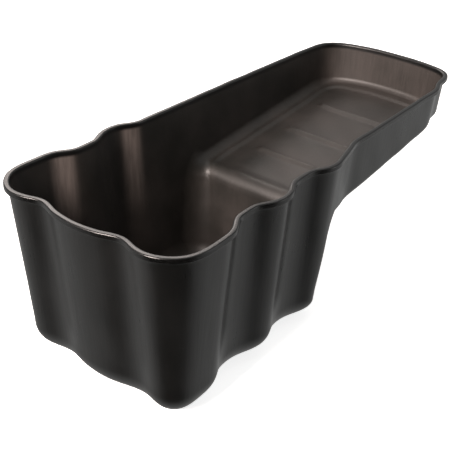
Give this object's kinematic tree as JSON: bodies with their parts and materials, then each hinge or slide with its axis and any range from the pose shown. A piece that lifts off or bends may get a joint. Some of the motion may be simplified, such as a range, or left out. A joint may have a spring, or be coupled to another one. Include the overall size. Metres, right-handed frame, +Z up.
{
  "type": "oil drain pan",
  "caption": "Open oil drain pan: a deep lobed bucket with a long shallow tray at the same rim that drains back into it, moulded in one sheet.",
  "frame": {"origin": "on the flat underside of the bucket, at the middle of its flat base", "axes": "+X from the bucket along the tray, +Y to the side without the third lobe, +Z up out of the open rim"},
  "size_m": [0.6095, 0.2621, 0.211],
  "materials": {
    "drain_pan": "satin black polyethylene"
  },
  "bodies": {
    "root": {"drain_pan": "drain_pan"}
  },
  "joints": []
}
